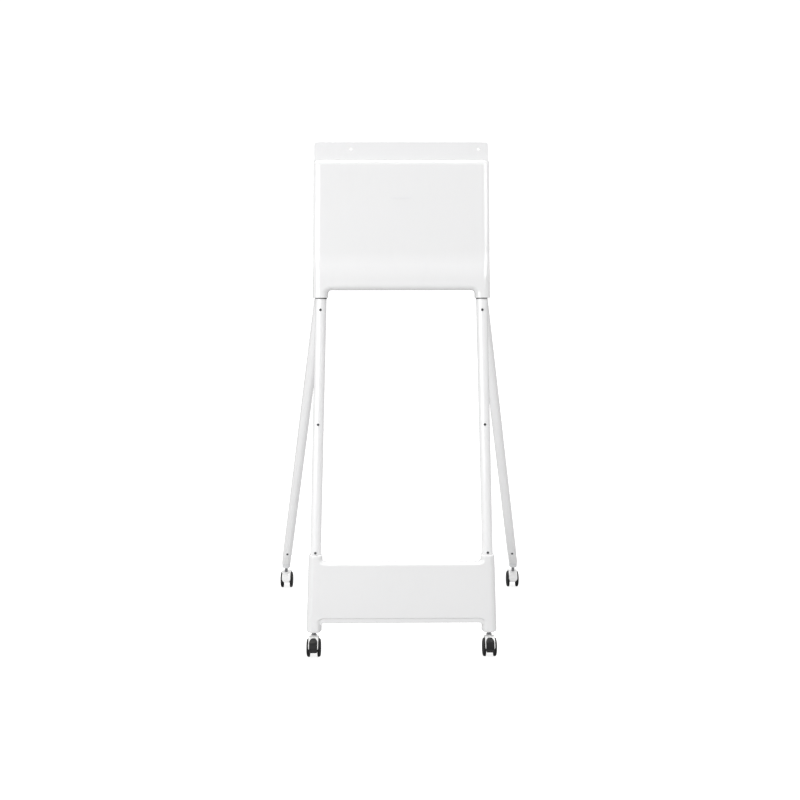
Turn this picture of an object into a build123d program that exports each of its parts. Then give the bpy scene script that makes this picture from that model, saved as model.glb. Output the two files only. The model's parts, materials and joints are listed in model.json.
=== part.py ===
from build123d import *
from math import cos, radians, sin, tan
import os

os.makedirs("parts", exist_ok=True)

# A flipchart stand on casters: a head shell with a bolting flange, two leaning front legs, a low
# cross beam, two splayed rear legs and four twin-wheel casters.
# Frame: +X to the viewer's right, +Y to the back, +Z up, origin on the floor under the middle.

# ---- stance ----
front_stem_y = -312.5        # swivel axes of the front casters
rear_stem_y = 315.5          # swivel axes of the rear casters
rear_stem_x = 434.0
lean_angle = 5.0             # the front frame leans back by this much
leg_spread = 289.0           # half distance between the front leg axes at floor level
leg_taper = 0.0285           # how fast the front legs close towards the top
column_foot = 80.0           # height of the underside of the beam's columns

# ---- front legs and the posts inside them ----
leg_radius = 17.5
leg_bore = 16.0
post_radius = 15.95
post_bore = 13.0
leg_low = 335.6              # distances up the lean, from floor level
leg_high = 1200.0
head_post_low = 1095.0
head_post_high = 1578.0
lower_post_low = 88.0
lower_spigot_high = 400.0
leg_screw_heights = (342.5, 760.5, 1127.0)
screw_hole_radius = 2.2
screw_hole_depth = 8.0

# ---- head shell ----
head_top = 1597.0
head_half_low = 281.6
head_half_high = 276.0
head_bottom = 1189.0
socket_foot = 1165.0
socket_inner_low = 233.0
socket_inner_high = 232.0
head_back = 24.0
head_front = 22.0
head_band_front = 32.0       # the lower band stands this far forward
band_start = 1312.0
band_full = 1222.0
head_side_round = 20.0
head_top_round = 13.0
arch_radius = 12.0
shell_wall = 3.0
head_split = 6.5             # the two covers meet on this plane

# ---- mounting plate ----
plate_back = 5.0
plate_thick = 3.0
flange_half = 273.2
flange_top = 1651.6
flange_foot = 1586.0
flange_corner = 10.0
plate_half = 165.0
plate_foot = 1500.0
mount_hole_radius = 4.25
mount_hole_left = -158.0
mount_hole_pitch = 400.0
mount_hole_height = 1630.5

# ---- cross bars of the head ----
bar_wide = 40.0
bar_deep = 20.0
bar_wall = 2.0
upper_bar_height = 1540.0
lower_bar_height = 1245.0
cover_screw_x = 180.0

# ---- beam ----
beam_top = 310.3
beam_bottom = 124.0
column_top = 335.4
column_outer_top = 302.0
column_outer_low = 311.9
column_inner_top = 257.0
column_inner_low = 262.0
outline_foot = 55.0
beam_half_depth = 23.0
beam_side_round = 20.0
beam_edge_round = 6.0
beam_wall = 2.5
rail_height = 220.0
rail_wide = 60.0
rail_deep = 30.0
strip_bottom = 110.0
strip_half = 262.5
strip_foot = 8.0             # the strip's ends reach down beside the columns
strip_foot_width = 1.6
strip_corner = 7.0

# ---- rear legs ----
rear_leg_radius = 17.0
rear_leg_bore = 15.5
rear_top = (256.3, front_stem_y + 143.0, 1200.0)
rear_tube_foot = 143.0       # height where the tube meets the foot adapter
foot_ring_low = 85.0
foot_ring_high = 101.0
foot_ring_radius = 15.0
rear_screw_height = 156.0
bracket_radius = 21.0
bracket_low = 1166.0
bracket_high = 1208.0
arm_depth = 44.0

# ---- casters ----
wheel_radius = 30.0
wheel_inner = 12.6
wheel_outer = 23.2
wheel_tread = 17.6           # where the tread turns into the domed outer side
axle_radius = 3.0
trail = 18.0
stem_radius = 5.0
collar_radius = 7.0
hood_top = 67.0
hood_half = 10.6
canopy_half = 15.8
canopy_outer = 38.2
canopy_inner = 35.4
canopy_low = 29.0            # height of the canopy's rounded lower tips
web_low = 4.0                # lower edge of the web, above the axle
web_radius = 12.5
web_back_edge = 2.3          # where the web ends and the brake pedal's room begins
boss_radius = 10.6
running_gap = 0.05
pedal_gap = 0.4              # between the pedal and the hood's frame around it
pedal_half = 13.2
pedal_outer = 37.4
pedal_inner = 34.8
pedal_top = 66.0             # height of the pedal's rounded upper end
pedal_top_round = 10.0
pedal_low = 25.6
pedal_pin_radius = 1.5
pedal_pin_spot = (8.0, 22.0)  # from the axle, towards the trailing side and up

sides = {"left": -1, "right": 1}

lean_sin = sin(radians(lean_angle))
lean_cos = cos(radians(lean_angle))
lean_origin = (0, front_stem_y - column_foot * tan(radians(lean_angle)), 0)
# Face plane of the leaning frame: x across, y up the lean, z out to the front.
lean = Plane(origin=lean_origin, x_dir=(1, 0, 0), z_dir=(0, -lean_cos, lean_sin))
# Side plane of the leaning frame: x up the lean, y out to the front.
lean_side = Plane(origin=lean_origin, x_dir=(0, lean_sin, lean_cos), z_dir=(1, 0, 0))


def save(piece, name):
    """Label a finished piece and write it to its own file."""
    piece.part.label = name
    export_step(piece.part, "parts/" + name + ".step")


def on_lean(across, up, out=0.0):
    """Point of the leaning frame in the common frame."""
    return lean.from_local_coords(Vector(across, up, out))


def leg_x(up):
    """Half distance between the leg axes at a height up the lean."""
    return leg_spread - leg_taper * up


def leg_section(side, up):
    """Plane square to a front leg, facing up along it."""
    low = on_lean(side * leg_x(0), 0)
    high = on_lean(side * leg_x(1000), 1000)
    return Plane(origin=on_lean(side * leg_x(up), up), x_dir=(1, 0, 0), z_dir=high - low)


def leg_length(low, high):
    """Length along a leg between two heights up the lean."""
    return (on_lean(leg_x(high), high) - on_lean(leg_x(low), low)).length


def face_plane(across, up, out):
    """Plane parallel to the leaning face, at a point of it, facing the front."""
    return Plane(origin=on_lean(across, up, out), x_dir=(1, 0, 0), z_dir=lean.z_dir)


def rear_point(side, height):
    """Point on a rear leg's axis at a height above the floor."""
    top = Vector(side * rear_top[0], rear_top[1], rear_top[2])
    foot = Vector(side * rear_stem_x, rear_stem_y, foot_ring_high)
    return top + (foot - top) * ((rear_top[2] - height) / (rear_top[2] - foot_ring_high))


def rear_section(side, height):
    """Plane square to a rear leg, facing up along it."""
    along = rear_point(side, 1000) - rear_point(side, 0)
    return Plane(origin=rear_point(side, height), x_dir=(1, 0, 0), z_dir=along)


def rear_length(low, high):
    """Length along a rear leg between two heights above the floor."""
    return (rear_point(1, high) - rear_point(1, low)).length


# ---------------------------------------------------------------- head shell


def head_form(inset):
    """Closed outer form of the head, or its cavity when inset is the wall thickness."""
    low_half = head_half_low - inset
    high_half = head_half_high - inset
    foot = socket_foot + inset
    arch = head_bottom + inset
    inner_low = socket_inner_low + inset
    inner_high = socket_inner_high + inset
    top = head_top - inset
    with BuildPart() as form:
        with BuildSketch(lean.offset(-head_back + inset)):
            with BuildLine():
                Polyline(
                    (-low_half, foot),
                    (-high_half, top),
                    (high_half, top),
                    (low_half, foot),
                    (inner_low, foot),
                    (inner_high, arch),
                    (-inner_high, arch),
                    (-inner_low, foot),
                    close=True,
                )
            sketch_face = make_face()
            arches = sketch_face.vertices().filter_by(lambda point: abs(point.Y - arch) < 0.01)
            fillet(arches, radius=arch_radius - inset)
        extrude(amount=head_back + head_band_front + 10)
        with BuildSketch(lean_side):
            front = head_front - inset
            band = head_band_front - inset
            back = -head_back - 1
            middle = ((band_start + band_full) / 2, (front + band) / 2)
            with BuildLine():
                Polyline(
                    (foot - 5, band), (foot - 5, back), (top + 5, back), (top + 5, front), (band_start, front)
                )
                TangentArc((band_start, front), middle, tangent=(-1, 0))
                TangentArc((band_full, band), middle, tangent=(1, 0))
                Line((band_full, band), (foot - 5, band))
            make_face()
        extrude(amount=head_half_low + 5, both=True, mode=Mode.INTERSECT)
        outward = form.edges().filter_by(is_side_edge)
        fillet(outward, radius=head_side_round - inset)
        tops = form.edges().filter_by(is_head_top_edge)
        fillet(tops, radius=head_top_round - inset)
    return form.part


def is_side_edge(edge):
    """Long upright edges on the outer sides of the head."""
    middle = lean.to_local_coords(edge @ 0.5)
    start = lean.to_local_coords(edge @ 0)
    end = lean.to_local_coords(edge @ 1)
    return abs(middle.X) > head_half_high - 5 and abs(start.Z - end.Z) < 15 and abs(start.Y - end.Y) > 5


def is_head_top_edge(edge):
    """The front edge along the top of the head."""
    middle = lean.to_local_coords(edge @ 0.5)
    return abs(middle.X) < 1 and middle.Y > head_top - 10 and middle.Z > 0


def upright_box(name_plane, wide, deep, amount):
    """Plain block on a plane, used for cuts."""
    with BuildPart() as block:
        with BuildSketch(name_plane):
            Rectangle(wide, deep)
        extrude(amount=amount)
    return block.part


def rod(section, radius, amount):
    """Plain round rod from a plane, used for cuts and pins."""
    with BuildPart() as bar:
        with BuildSketch(section):
            Circle(radius)
        extrude(amount=amount)
    return bar.part


front_half = upright_box(face_plane(0, 900, head_split), 900, 2200, 200)
back_half = upright_box(face_plane(0, 900, head_split), 900, 2200, -200)
head_outer = head_form(0)
head_inner = head_form(shell_wall)
slot_plane = face_plane(0, head_top, plate_back - 0.1)
flange_slot = upright_box(slot_plane, 2 * flange_half + 0.6, 60, plate_thick + 0.2)
boss_spots = [
    (side * cover_screw_x, height)
    for side in (-1, 1)
    for height in (lower_bar_height, upper_bar_height)
]

with BuildPart() as head_front_cover:
    add(head_outer)
    add(head_inner, mode=Mode.SUBTRACT)
    add(front_half, mode=Mode.INTERSECT)
    add(flange_slot, mode=Mode.SUBTRACT)
    for side in (-1, 1):
        add(rod(leg_section(side, socket_foot - 20), leg_radius + 0.4, 60), mode=Mode.SUBTRACT)
    # Bosses that take the long screws from behind.
    for across, up in boss_spots:
        boss_front = head_front - shell_wall + (0.5 if up == upper_bar_height else 8)
        with BuildSketch(face_plane(across, up, head_split)):
            Circle(6)
            Circle(2.0, mode=Mode.SUBTRACT)
        extrude(amount=boss_front - head_split)
save(head_front_cover, "head_front_cover")

with BuildPart() as head_back_cover:
    add(head_outer)
    add(head_inner, mode=Mode.SUBTRACT)
    add(back_half, mode=Mode.INTERSECT)
    add(flange_slot, mode=Mode.SUBTRACT)
    for side in (-1, 1):
        add(rod(leg_section(side, socket_foot - 20), leg_radius + 0.4, 60), mode=Mode.SUBTRACT)
        # Opening for the arm of the rear leg bracket.
        add(
            upright_box(face_plane(side * 255.5, 1191, -head_back - 5), 27, 44, 20),
            mode=Mode.SUBTRACT,
        )
    for across, up in boss_spots:
        add(rod(face_plane(across, up, -head_back - 1), 2.2, 10), mode=Mode.SUBTRACT)
save(head_back_cover, "head_back_cover")

with BuildPart() as cover_screws:
    for across, up in boss_spots:
        with BuildSketch(face_plane(across, up, -head_back)):
            Circle(4)
        extrude(amount=-2.6)
        with BuildSketch(face_plane(across, up, -head_back)):
            Circle(1.95)
        extrude(amount=head_back + 16)
        with BuildSketch(face_plane(across, up, -head_back - 2.6)):
            RegularPolygon(1.5, 6)
        extrude(amount=1.4, mode=Mode.SUBTRACT)
save(cover_screws, "cover_screws")

with BuildPart() as badge_plate:
    with BuildSketch(face_plane(0, 1477.7, head_front)):
        SlotOverall(62, 5)
    extrude(amount=0.8)
save(badge_plate, "badge_plate")

# ---------------------------------------------------------------- mounting plate and cross bars

plate_bolt_spots = [(across, upper_bar_height) for across in (-140, -60, 60, 140)]

with BuildPart() as mounting_plate:
    with BuildSketch(face_plane(0, (flange_foot + flange_top) / 2, plate_back)) as flange_sketch:
        Rectangle(2 * flange_half, flange_top - flange_foot)
        fillet(flange_sketch.vertices().group_by(Axis.Y)[-1], radius=flange_corner)
    extrude(amount=plate_thick)
    with BuildSketch(face_plane(0, (plate_foot + flange_foot) / 2, plate_back)):
        Rectangle(2 * plate_half, flange_foot - plate_foot)
    extrude(amount=plate_thick)
    for across in (mount_hole_left, mount_hole_left + mount_hole_pitch):
        with BuildSketch(face_plane(across, mount_hole_height, plate_back)):
            Circle(mount_hole_radius)
        extrude(amount=plate_thick, mode=Mode.SUBTRACT)
    for across, up in plate_bolt_spots:
        with BuildSketch(face_plane(across, up, plate_back)):
            Circle(3.2)
        extrude(amount=plate_thick, mode=Mode.SUBTRACT)
save(mounting_plate, "mounting_plate")

with BuildPart() as plate_bolts:
    for across, up in plate_bolt_spots:
        with BuildSketch(face_plane(across, up, plate_back + plate_thick)):
            RegularPolygon(5.8, 6)
        extrude(amount=4)
        with BuildSketch(face_plane(across, up, plate_back + plate_thick)):
            Circle(3)
        extrude(amount=-12)
save(plate_bolts, "plate_bolts")


def make_cross_bar(up, bolt_spots):
    """Rectangular tube between the head posts, its ends coped to them."""
    with BuildPart() as bar:
        middle = on_lean(0, up, plate_back - bar_deep / 2)
        with BuildSketch(Plane(origin=middle, x_dir=lean.z_dir, z_dir=(1, 0, 0))):
            Rectangle(bar_deep, bar_wide)
            Rectangle(bar_deep - 2 * bar_wall, bar_wide - 2 * bar_wall, mode=Mode.SUBTRACT)
        extrude(amount=leg_x(up), both=True)
        for side in (-1, 1):
            add(rod(leg_section(side, up - 80), post_radius, 160), mode=Mode.SUBTRACT)
        beyond_left = upright_box(face_plane(-leg_x(up) - 100, up, -60), 200, 200, 120)
        beyond_right = upright_box(face_plane(leg_x(up) + 100, up, -60), 200, 200, 120)
        add(beyond_left, mode=Mode.SUBTRACT)
        add(beyond_right, mode=Mode.SUBTRACT)
        for across, height, radius in bolt_spots:
            add(rod(face_plane(across, height, -head_back), radius, head_back + 20), mode=Mode.SUBTRACT)
    return bar


upper_bolts = [(across, up, 3.05) for across, up in plate_bolt_spots]
upper_screws = [(side * cover_screw_x, upper_bar_height, 2.0) for side in (-1, 1)]
lower_screws = [(side * cover_screw_x, lower_bar_height, 2.0) for side in (-1, 1)]
upper_cross_bar = make_cross_bar(upper_bar_height, upper_bolts + upper_screws)
save(upper_cross_bar, "upper_cross_bar")
lower_cross_bar = make_cross_bar(lower_bar_height, lower_screws)
save(lower_cross_bar, "lower_cross_bar")

# ---------------------------------------------------------------- legs, posts, screws


def make_tube(section, length, outer, bore, hole_planes):
    """Round tube from a plane, with screw holes on the planes given."""
    with BuildPart() as tube:
        with BuildSketch(section):
            Circle(outer)
            Circle(bore, mode=Mode.SUBTRACT)
        extrude(amount=length)
        for plane in hole_planes:
            add(rod(plane, screw_hole_radius, -screw_hole_depth), mode=Mode.SUBTRACT)
    return tube


def screw_plane(side, up):
    """Seat of a screw head on the front of a leg."""
    return face_plane(side * leg_x(up), up, leg_radius)


def make_screw(plane, length):
    """Dome-head screw with a hexagon socket; the plane is the seat, facing out."""
    with BuildPart() as screw:
        with BuildSketch(plane):
            Circle(4)
        extrude(amount=2.4)
        fillet(screw.faces().sort_by(Axis(plane.origin, plane.z_dir))[-1].edges(), radius=1.4)
        with BuildSketch(plane.offset(2.4)):
            RegularPolygon(1.6, 6)
        extrude(amount=-1.3, mode=Mode.SUBTRACT)
        with BuildSketch(plane):
            Circle(2.1)
        extrude(amount=-length)
    return screw.part


bracket_bolt_up = 1191.0

for name, side in sides.items():
    holes = [screw_plane(side, up) for up in leg_screw_heights]
    bracket_hole = face_plane(side * leg_x(bracket_bolt_up), bracket_bolt_up, leg_radius + 5)

    with BuildPart() as front_leg:
        tube_length = leg_length(leg_low, leg_high)
        leg_tube = make_tube(leg_section(side, leg_low), tube_length, leg_radius, leg_bore, holes)
        add(leg_tube.part)
        add(rod(bracket_hole, 3.1, -50), mode=Mode.SUBTRACT)
    save(front_leg, name + "_front_leg")

    with BuildPart() as head_post:
        post_length = leg_length(head_post_low, head_post_high)
        post_section = leg_section(side, head_post_low)
        add(make_tube(post_section, post_length, post_radius, post_bore, [holes[2]]).part)
        add(rod(bracket_hole, 3.1, -50), mode=Mode.SUBTRACT)
    save(head_post, name + "_head_post")

    with BuildPart() as lower_post:
        with BuildSketch(leg_section(side, lower_post_low)):
            Circle(leg_radius)
            Circle(post_bore, mode=Mode.SUBTRACT)
        extrude(amount=leg_length(lower_post_low, leg_low - 0.1))
        with BuildSketch(leg_section(side, leg_low - 0.1)):
            Circle(post_radius)
            Circle(post_bore, mode=Mode.SUBTRACT)
        extrude(amount=leg_length(leg_low - 0.1, lower_spigot_high))
        add(rod(holes[0], screw_hole_radius, -screw_hole_depth), mode=Mode.SUBTRACT)
    save(lower_post, name + "_lower_post")

with BuildPart() as front_leg_screws:
    for side in (-1, 1):
        for up in leg_screw_heights:
            add(make_screw(screw_plane(side, up), 6))
save(front_leg_screws, "front_leg_screws")

with BuildPart() as middle_rivet_nuts:
    for side in (-1, 1):
        seat = screw_plane(side, leg_screw_heights[1]).offset(-2.1)
        with BuildSketch(seat):
            Circle(4)
            Circle(2.1, mode=Mode.SUBTRACT)
        extrude(amount=-9)
save(middle_rivet_nuts, "middle_rivet_nuts")

# ---------------------------------------------------------------- beam


def beam_form(inset):
    """Closed outer form of the beam with its two columns, or its cavity."""
    cavity = inset > 0
    foot = outline_foot - (5 if cavity else 0)
    with BuildPart() as form:
        with BuildSketch(lean.offset(-beam_half_depth + inset)) as outline:
            for side in (-1, 1):
                with BuildLine():
                    Polyline(
                        (side * (column_inner_top + inset), column_top - inset),
                        (side * (column_outer_top - inset), column_top - inset),
                        (side * (column_outer_low - inset), foot),
                        (side * (column_inner_low + inset), foot),
                        close=True,
                    )
                make_face()
            with Locations((0, (beam_top + beam_bottom) / 2)):
                Rectangle(2 * leg_x(200), beam_top - beam_bottom - 2 * inset)
            corners = outline.vertices().filter_by(is_beam_corner)
            fillet(corners, radius=max(11 - inset, 5))
        extrude(amount=2 * (beam_half_depth - inset))
        fillet(form.edges().filter_by(is_column_edge), radius=beam_side_round - inset)
        fillet(form.edges().filter_by(is_beam_rim), radius=beam_edge_round - inset)
    return form.part


def is_beam_corner(point):
    """Corners of the outline where the beam meets the inner side of a column."""
    return abs(point.X) < column_inner_low + 4 and beam_bottom - 4 < point.Y < beam_top + 4


def is_column_edge(edge):
    """Long outer edges of the columns."""
    middle = lean.to_local_coords(edge @ 0.5)
    start = lean.to_local_coords(edge @ 0)
    end = lean.to_local_coords(edge @ 1)
    return abs(middle.X) > column_outer_top - 4 and abs(start.Y - end.Y) > 50


def is_beam_rim(edge):
    """Long edges along the top and the bottom of the beam, front and back."""
    middle = lean.to_local_coords(edge @ 0.5)
    start = lean.to_local_coords(edge @ 0)
    end = lean.to_local_coords(edge @ 1)
    return abs(middle.X) < 1 and abs(start.X - end.X) > 200 and abs(middle.Z) > 10


beam_outer = beam_form(0)
beam_inner = beam_form(beam_wall)
below_columns = upright_box(Plane.XY.offset(column_foot), 800, 2000, -200)
beam_screw_spots = [(across, rail_height) for across in (-170, 0, 170)]
beam_front_half = upright_box(face_plane(0, 200, 0), 900, 700, 200)
beam_back_half = upright_box(face_plane(0, 200, 0), 900, 700, -200)

with BuildPart() as beam_front_shell:
    add(beam_outer)
    add(beam_inner, mode=Mode.SUBTRACT)
    add(beam_front_half, mode=Mode.INTERSECT)
    add(below_columns, mode=Mode.SUBTRACT)
    for side in (-1, 1):
        add(rod(leg_section(side, column_top - 20), leg_radius + 0.4, 40), mode=Mode.SUBTRACT)
    for across, up in beam_screw_spots:
        with BuildSketch(face_plane(across, up, rail_deep / 2)):
            Circle(5)
            Circle(2.0, mode=Mode.SUBTRACT)
        extrude(amount=beam_half_depth - beam_wall - rail_deep / 2)
save(beam_front_shell, "beam_front_shell")

with BuildPart() as beam_back_shell:
    add(beam_outer)
    add(beam_inner, mode=Mode.SUBTRACT)
    add(beam_back_half, mode=Mode.INTERSECT)
    add(below_columns, mode=Mode.SUBTRACT)
    for side in (-1, 1):
        add(rod(leg_section(side, column_top - 20), leg_radius + 0.4, 40), mode=Mode.SUBTRACT)
    for across, up in beam_screw_spots:
        add(rod(face_plane(across, up, -beam_half_depth - 1), 2.2, 10), mode=Mode.SUBTRACT)
save(beam_back_shell, "beam_back_shell")

with BuildPart() as beam_screws:
    for across, up in beam_screw_spots:
        with BuildSketch(face_plane(across, up, -beam_half_depth)):
            Circle(4)
        extrude(amount=-2.6)
        with BuildSketch(face_plane(across, up, -beam_half_depth)):
            Circle(1.95)
        extrude(amount=beam_half_depth + rail_deep / 2 + 4)
        with BuildSketch(face_plane(across, up, -beam_half_depth - 2.6)):
            RegularPolygon(1.5, 6)
        extrude(amount=1.4, mode=Mode.SUBTRACT)
save(beam_screws, "beam_screws")

with BuildPart() as beam_rail:
    with BuildSketch(Plane(origin=on_lean(0, rail_height, 0), x_dir=lean.z_dir, z_dir=(1, 0, 0))):
        Rectangle(rail_deep, rail_wide)
        Rectangle(rail_deep - 4, rail_wide - 4, mode=Mode.SUBTRACT)
    extrude(amount=leg_x(rail_height) - 8, both=True)
    for side in (-1, 1):
        add(rod(leg_section(side, rail_height - 80), leg_radius, 160), mode=Mode.SUBTRACT)
    for across, up in beam_screw_spots:
        add(rod(face_plane(across, up, -beam_half_depth), 2.0, 2 * beam_half_depth), mode=Mode.SUBTRACT)
save(beam_rail, "beam_rail")

with BuildPart() as beam_bottom_strip:
    # Runs from column to column, with a rounded corner under each end.
    with BuildSketch(face_plane(0, strip_bottom, 0)) as strip_sketch:
        with Locations((0, (beam_bottom - strip_bottom - strip_foot) / 2)):
            Rectangle(2 * strip_half, beam_bottom - strip_bottom + strip_foot)
        with BuildSketch(mode=Mode.PRIVATE) as gap_sketch:
            with Locations((0, -20)):
                Rectangle(2 * strip_half - 2 * strip_foot_width, 40)
            fillet(gap_sketch.vertices().group_by(Axis.Y)[-1], radius=strip_corner)
        add(gap_sketch.sketch, mode=Mode.SUBTRACT)
    extrude(amount=17.5, both=True)
    add(beam_outer, mode=Mode.SUBTRACT)
save(beam_bottom_strip, "beam_bottom_strip")

# ---------------------------------------------------------------- column feet and stem seats

for name, side in sides.items():
    stem_x = side * leg_x(column_foot)
    with BuildPart() as column_cap:
        with BuildSketch(Plane(origin=(stem_x, front_stem_y, column_foot), z_dir=(0, 0, 1))):
            Circle(19.6)
            Circle(stem_radius + 0.1, mode=Mode.SUBTRACT)
        extrude(amount=3.5)
    save(column_cap, name + "_column_cap")

    # Nylon seat pressed into the lower post, bored upright for the caster's stem.
    with BuildPart() as stem_seat:
        with BuildSketch(leg_section(side, lower_post_low)):
            Circle(post_bore - 0.05)
        extrude(amount=44)
        add(
            rod(Plane(origin=(stem_x, front_stem_y, column_foot), z_dir=(0, 0, 1)), stem_radius, 80),
            mode=Mode.SUBTRACT,
        )
    save(stem_seat, name + "_stem_seat")

# ---------------------------------------------------------------- rear legs


def rear_screw_plane(side):
    """Seat of the screw head on the front of a rear leg."""
    along = rear_section(side, rear_screw_height).z_dir
    seat = Plane(
        origin=rear_point(side, rear_screw_height),
        x_dir=(1, 0, 0),
        z_dir=Vector(1, 0, 0).cross(along),
    )
    return seat.offset(rear_leg_radius)


for name, side in sides.items():
    screw_seat = rear_screw_plane(side)

    with BuildPart() as rear_leg:
        length = rear_length(rear_tube_foot, rear_top[2])
        foot_section = rear_section(side, rear_tube_foot)
        add(make_tube(foot_section, length, rear_leg_radius, rear_leg_bore, [screw_seat]).part)
    save(rear_leg, name + "_rear_leg")

    # Angled foot: a plug up inside the tube and a body cut level over the ring.
    with BuildPart() as rear_foot:
        with BuildSketch(rear_section(side, foot_ring_high - 30)):
            Circle(rear_leg_radius - 0.7)
        extrude(amount=rear_length(foot_ring_high - 30, rear_tube_foot - 0.6))
        with BuildSketch(rear_section(side, rear_tube_foot - 0.6)):
            Circle(rear_leg_bore - 0.05)
        extrude(amount=rear_length(rear_tube_foot - 0.6, rear_tube_foot + 32))
        below = upright_box(Plane.XY.offset(foot_ring_high), 1200, 1200, -200)
        add(below, mode=Mode.SUBTRACT)
        add(rod(screw_seat, screw_hole_radius, -12), mode=Mode.SUBTRACT)
        stem_hole = Plane(origin=(side * rear_stem_x, rear_stem_y, foot_ring_low - 5), z_dir=(0, 0, 1))
        add(rod(stem_hole, stem_radius, 44), mode=Mode.SUBTRACT)
    save(rear_foot, name + "_rear_foot")

    with BuildPart() as foot_ring:
        with BuildSketch(Plane(origin=(side * rear_stem_x, rear_stem_y, foot_ring_low), z_dir=(0, 0, 1))):
            Circle(foot_ring_radius)
            Circle(stem_radius, mode=Mode.SUBTRACT)
        extrude(amount=foot_ring_high - foot_ring_low)
        fillet(foot_ring.edges().group_by(Axis.Z)[0].sort_by(SortBy.RADIUS)[-1], radius=1.5)
    save(foot_ring, name + "_foot_ring")

    # Cast bracket: a sleeve on the rear leg's top and an arm to the back of the front leg.
    with BuildPart() as rear_bracket:
        with BuildSketch(rear_section(side, bracket_low)):
            Circle(bracket_radius)
        extrude(amount=rear_length(bracket_low, bracket_high))
        rim_edges = rear_bracket.edges().filter_by(GeomType.CIRCLE)
        fillet(rim_edges, radius=2.5)
        arm_plane = face_plane(side * leg_x(bracket_bolt_up), bracket_bolt_up, -arm_depth)
        with BuildSketch(arm_plane) as arm_sketch:
            Rectangle(24, 28)
            fillet(arm_sketch.vertices(), radius=4)
        extrude(amount=arm_depth)
        add(rod(leg_section(side, bracket_bolt_up - 60), leg_radius, 120), mode=Mode.SUBTRACT)
        sleeve_bore = rod(
            rear_section(side, bracket_low - 20),
            rear_leg_radius + 0.05,
            rear_length(bracket_low - 20, rear_top[2]),
        )
        add(sleeve_bore, mode=Mode.SUBTRACT)
        bolt_hole = face_plane(side * leg_x(bracket_bolt_up), bracket_bolt_up, -leg_radius + 2)
        add(rod(bolt_hole, 3.0, -14), mode=Mode.SUBTRACT)
    save(rear_bracket, name + "_rear_bracket")

with BuildPart() as rear_leg_screws:
    for side in (-1, 1):
        add(make_screw(rear_screw_plane(side), 6))
save(rear_leg_screws, "rear_leg_screws")

with BuildPart() as bracket_bolts:
    for side in (-1, 1):
        seat = face_plane(side * leg_x(bracket_bolt_up), bracket_bolt_up, leg_radius)
        with BuildSketch(seat):
            RegularPolygon(5.8, 6)
        extrude(amount=4)
        with BuildSketch(seat):
            Circle(2.95)
        extrude(amount=-2 * leg_radius - 11)
save(bracket_bolts, "bracket_bolts")

# ---------------------------------------------------------------- casters


def front_outline(hub, half, low, high, low_round, high_round):
    """Upright prism running front to back through a caster: rounded corners below and above."""
    with BuildPart() as outline:
        with BuildSketch(Plane(origin=(hub.X, hub.Y, 0), x_dir=(1, 0, 0), z_dir=(0, -1, 0))) as face:
            with Locations((0, (low + high) / 2)):
                Rectangle(2 * half, high - low)
            fillet(face.vertices().group_by(Axis.Y)[0], radius=low_round)
            fillet(face.vertices().group_by(Axis.Y)[-1], radius=high_round)
        extrude(amount=60, both=True)
    return outline.part


def pedal_pocket(hub, facing):
    """Opening of the hood's frame that the pedal lies in, on the trailing side of the axle."""
    with BuildPart() as pocket:
        pocket_half = pedal_half + pedal_gap
        add(front_outline(hub, pocket_half, -20, pedal_top + pedal_gap, 1, pedal_top_round + pedal_gap))
        side_spot = Plane(origin=(hub.X, hub.Y + facing * 50, -30), z_dir=(0, 0, 1))
        add(upright_box(side_spot, 100, 100, 160), mode=Mode.INTERSECT)
    return pocket.part


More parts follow.
